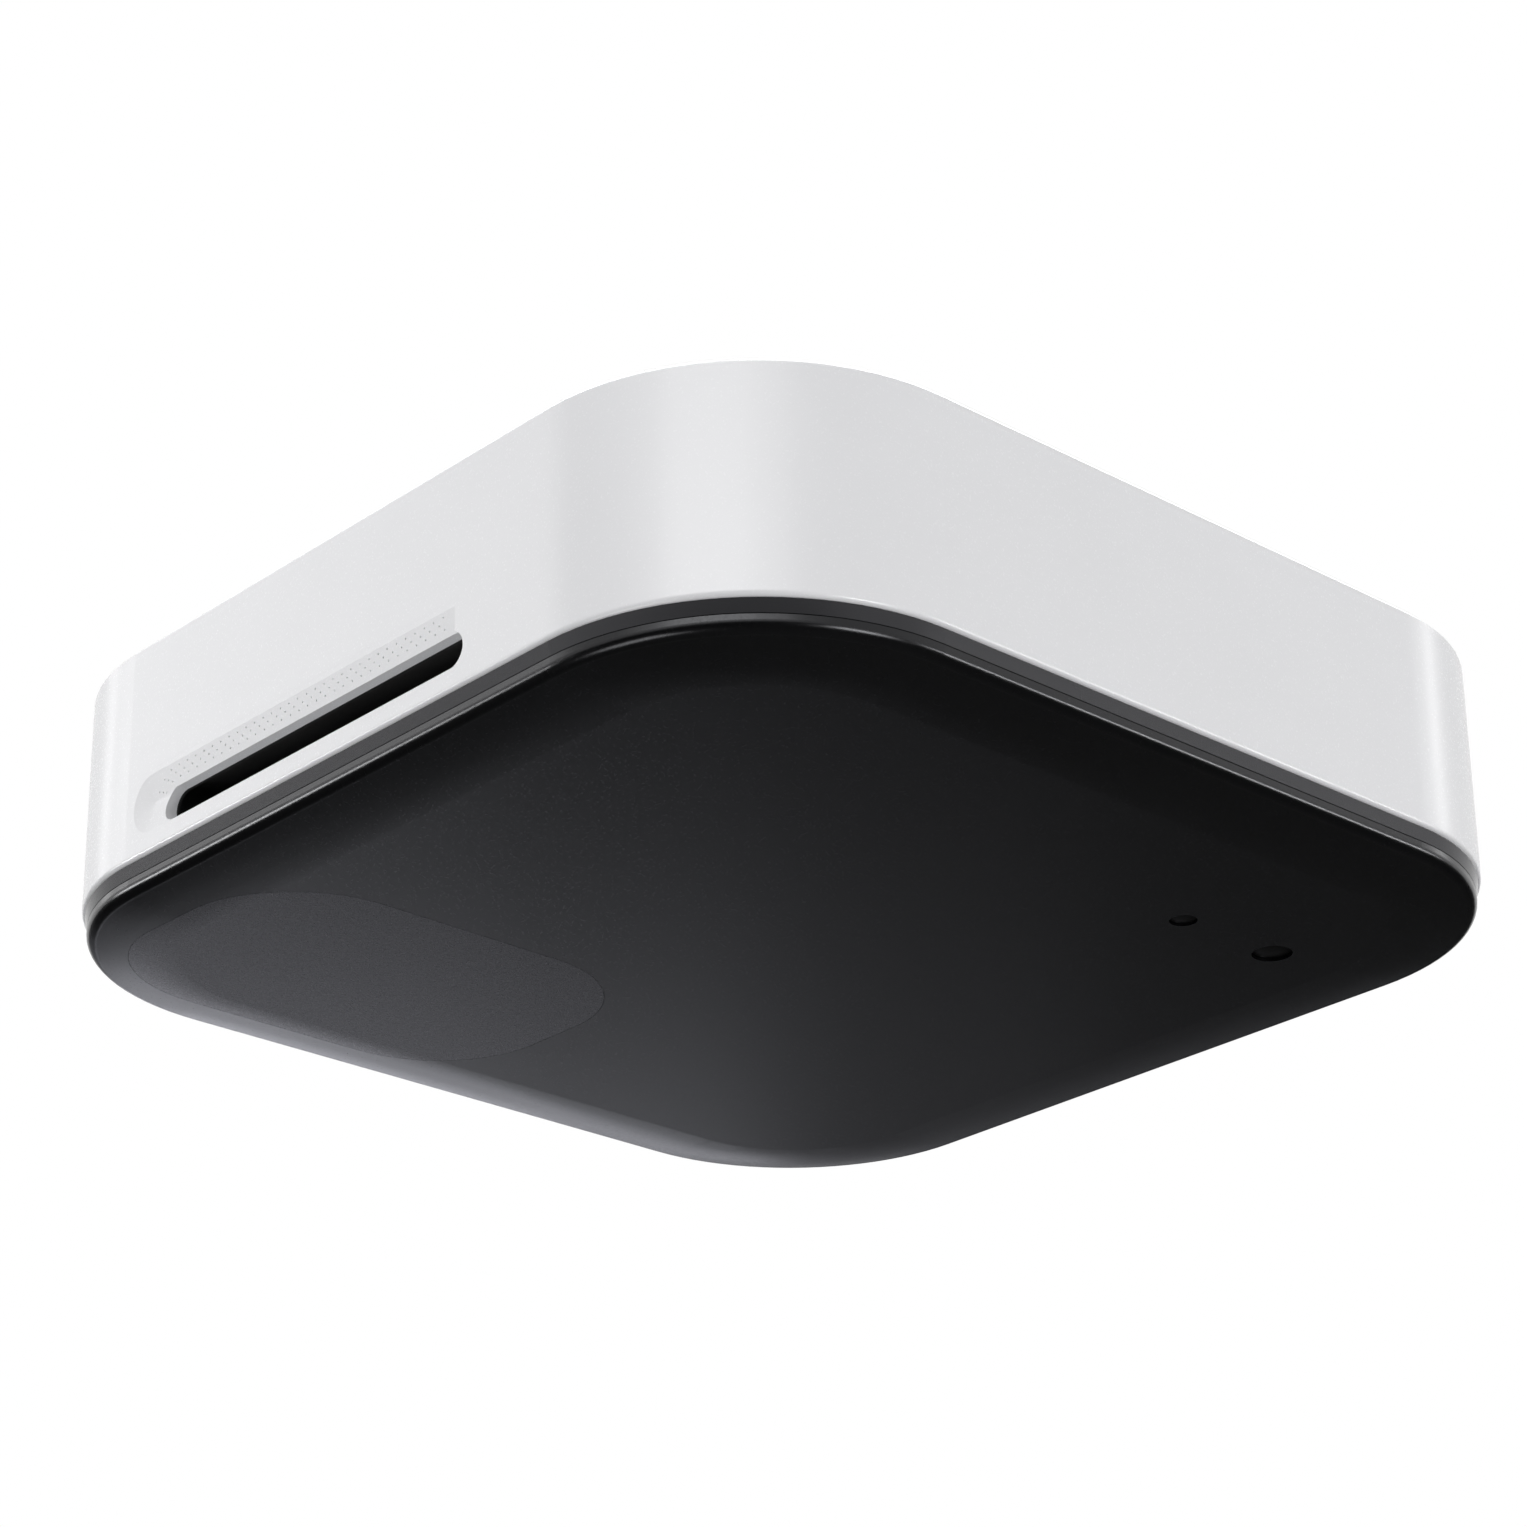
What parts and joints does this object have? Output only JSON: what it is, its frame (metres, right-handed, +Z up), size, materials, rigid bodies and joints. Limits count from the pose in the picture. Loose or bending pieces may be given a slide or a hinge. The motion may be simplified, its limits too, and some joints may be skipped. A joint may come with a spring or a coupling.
{
  "type": "ceiling occupancy sensor",
  "caption": "Rounded square white ceiling sensor with a gloss black face, a slotted air vent in one wall and a twist lock ceiling plate.",
  "frame": {"origin": "middle of the ceiling plate's upper face, halfway between its two screw holes", "axes": "+Z up into the ceiling, -X out of the wall with the vent, +X along the plate's two screw holes"},
  "size_m": [0.12, 0.12, 0.0292],
  "materials": {
    "white_plastic": "satin white moulding",
    "black_gloss": "gloss black moulding",
    "window_black": "soft gloss black moulding",
    "trim_grey": "satin dark grey",
    "foam": "matt foam",
    "lens_dark": "polished dark lens",
    "mesh_black": "woven black mesh",
    "duct_black": "matt black moulding",
    "chassis_grey": "textured grey moulding",
    "zinc_steel": "zinc plated sheet",
    "spring_steel": "bright strip",
    "acetal": "natural acetal",
    "board_green": "green solder mask",
    "chip_black": "matt epoxy",
    "can_steel": "tinned sheet",
    "jack_plastic": "black nylon",
    "aluminium": "milled aluminium",
    "silicone": "soft silicone",
    "ferrite": "grey ferrite",
    "button_grey": "grey nylon"
  },
  "bodies": {
    "plate": {"ceiling_plate": "zinc_steel", "plunger_guide": "zinc_steel", "plunger_spring": "spring_steel"},
    "plunger": {"detent_plunger": "acetal"},
    "button": {"reset_button": "button_grey"},
    "sensor": {"housing": "white_plastic", "rear_chassis": "chassis_grey", "trim_ring": "trim_grey", "cover_gasket": "foam", "front_cover": "black_gloss", "sensing_window": "window_black", "large_lens": "lens_dark", "small_lens": "lens_dark", "vent_panel": "white_plastic", "vent_mesh": "mesh_black", "air_duct": "duct_black", "air_sensor": "chip_black", "main_board": "board_green", "ethernet_jack": "jack_plastic", "line_transformer": "chip_black", "processor": "chip_black", "thermal_pad": "silicone", "heat_spreader": "aluminium", "shield_can": "can_steel", "radio_chip": "chip_black", "power_inductor": "ferrite", "capacitors": "aluminium", "antennas": "can_steel", "radar_board": "board_green", "radar_chip": "chip_black", "radar_posts": "can_steel", "board_connector": "jack_plastic", "thermal_sensor": "can_steel", "light_sensor": "chip_black", "reset_switch": "jack_plastic", "board_screws": "zinc_steel", "chassis_screws": "zinc_steel"}
  },
  "joints": [
    {"name": "twist_lock", "type": "hinge", "parent": "plate", "child": "sensor", "pos_m": [0, 0, 0], "axis": [0, 0, 1], "range_deg": [0, 26]},
    {"name": "plunger_slide", "type": "slide", "parent": "plate", "child": "plunger", "axis": [0, 1, 0], "range_m": [-0.0024, 0], "stiffness_N_per_m": 400, "springref_m": 0.002, "deforming": ["plunger_spring"]},
    {"name": "reset_press", "type": "slide", "parent": "sensor", "child": "button", "axis": [0, 0, -1], "range_m": [0, 0.0005], "stiffness_N_per_m": 1500}
  ],
  "couplings": [
    {"joint": "plunger_slide", "follows": "twist_lock", "m_per_rad": -0.0052836}
  ]
}
